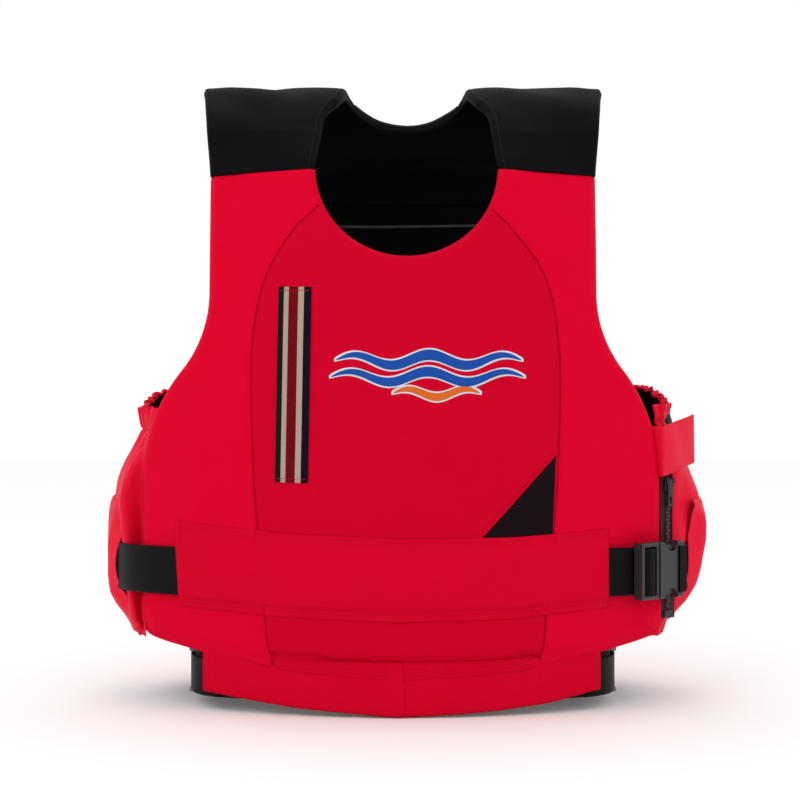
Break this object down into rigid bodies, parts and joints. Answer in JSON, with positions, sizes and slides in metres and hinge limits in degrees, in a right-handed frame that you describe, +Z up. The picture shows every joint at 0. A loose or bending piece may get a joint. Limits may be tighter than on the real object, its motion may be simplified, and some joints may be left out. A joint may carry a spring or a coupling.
{
  "type": "life jacket",
  "caption": "Padded foam life jacket with belt tunnels, side-release waist buckle, side zip and sliding strap adjusters.",
  "frame": {"origin": "middle of the jacket's footprint, on the surface that its lower tunnels stand on", "axes": "+X to the right as seen from the front, +Y from front to back, +Z up as worn"},
  "size_m": [0.515, 0.272, 0.527],
  "materials": {
    "red_fabric": "bright red woven nylon",
    "dark_red_fabric": "dark red woven nylon in shade",
    "neoprene": "black fabric-faced neoprene",
    "lining": "black woven nylon lining",
    "foam": "closed-cell buoyancy foam, inside the cover",
    "grey_piping": "grey woven piping",
    "elastic": "knitted elastic",
    "webbing": "black woven webbing",
    "buckle_plastic": "satin black moulded plastic",
    "adjuster_plastic": "grey moulded plastic",
    "zip_tape": "red zip tape",
    "zip_plastic": "black moulded zip coil and slider",
    "hook_and_loop": "black hook-and-loop patch",
    "striped_tape": "woven striped tape, dark red between beige bands",
    "mesh": "black open mesh"
  },
  "bodies": {
    "vest": {"back_foam_inner": "foam", "back_foam_outer": "foam", "back_lining_lower": "lining", "back_lining_piping": "grey_piping", "back_lining_upper": "lining", "back_panel_centre": "red_fabric", "back_panel_left": "red_fabric", "back_panel_right": "red_fabric", "back_yoke": "neoprene", "belt_socket_loop": "webbing", "belt_tunnel_back": "red_fabric", "belt_tunnel_front": "red_fabric", "buckle_socket": "buckle_plastic", "chest_tape": "striped_tape", "flap_loop_patch": "hook_and_loop", "flap_margin": "red_fabric", "front_foam_inner": "foam", "front_foam_outer": "foam", "front_lining": "lining", "front_panel_centre": "red_fabric", "front_panel_left": "red_fabric", "front_panel_right": "red_fabric", "gusset_back_left": "dark_red_fabric", "gusset_back_right": "dark_red_fabric", "gusset_front_left": "dark_red_fabric", "lower_strap": "webbing", "lower_tunnel_back": "red_fabric", "lower_tunnel_front": "red_fabric", "pocket_mesh_insert": "mesh", "shoulder_pad_left": "neoprene", "shoulder_pad_right": "neoprene", "shoulder_webbing_left": "webbing", "shoulder_webbing_right": "webbing", "side_belt_cover_left": "red_fabric", "side_belt_cover_right": "red_fabric", "side_elastic_left": "elastic", "side_elastic_right": "elastic", "side_foam_left": "foam", "side_foam_right": "foam", "side_hem_left": "red_fabric", "side_hem_right": "red_fabric", "side_lining_left": "lining", "side_lining_right": "lining", "side_panel_left": "red_fabric", "side_panel_right": "red_fabric", "waist_belt": "webbing", "waist_belt_end": "webbing", "zip_bottom_stop": "zip_plastic", "zip_tape": "zip_tape", "zip_teeth": "zip_plastic"},
    "plug": {"buckle_plug": "buckle_plastic", "belt_roll": "webbing"},
    "release_arm_upper": {"buckle_arm_upper": "buckle_plastic"},
    "release_arm_lower": {"buckle_arm_lower": "buckle_plastic"},
    "slider": {"zip_slider": "zip_plastic"},
    "pull": {"zip_pull": "zip_plastic"},
    "flap": {"storm_flap": "red_fabric", "flap_hook_patch": "hook_and_loop"},
    "adjuster_left": {"strap_adjuster_left": "adjuster_plastic"},
    "adjuster_right": {"strap_adjuster_right": "adjuster_plastic"}
  },
  "joints": [
    {"name": "buckle_slide", "type": "slide", "parent": "vest", "child": "plug", "axis": [-0.766, -0.6428, 0], "range_m": [0, 0.03], "deforming": ["waist_belt_end"]},
    {"name": "release_upper", "type": "hinge", "parent": "plug", "child": "release_arm_upper", "pos_m": [0.21102, -0.07968, 0.1305], "axis": [0.6428, -0.766, 0], "range_deg": [-6, 0], "stiffness_Nm_per_rad": 0.2},
    {"name": "release_lower", "type": "hinge", "parent": "plug", "child": "release_arm_lower", "pos_m": [0.21102, -0.07968, 0.0995], "axis": [0.6428, -0.766, 0], "range_deg": [0, 6], "stiffness_Nm_per_rad": 0.2},
    {"name": "zip_slide", "type": "slide", "parent": "vest", "child": "slider", "axis": [0, 0, -1], "range_m": [0, 0.097]},
    {"name": "pull_swing", "type": "hinge", "parent": "slider", "child": "pull", "pos_m": [0.22557, -0.05408, 0.188], "axis": [-0.8695, -0.494, 0], "range_deg": [0, 80]},
    {"name": "flap_fold", "type": "hinge", "parent": "vest", "child": "flap", "pos_m": [0.2174, -0.06711, 0.214], "axis": [0, 0, -1], "range_deg": [0, 110]},
    {"name": "adjuster_slide_left", "type": "slide", "parent": "vest", "child": "adjuster_left", "axis": [0, 1, 0], "range_m": [-0.005, 0.035]},
    {"name": "adjuster_slide_right", "type": "slide", "parent": "vest", "child": "adjuster_right", "axis": [0, 1, 0], "range_m": [-0.005, 0.035]}
  ]
}
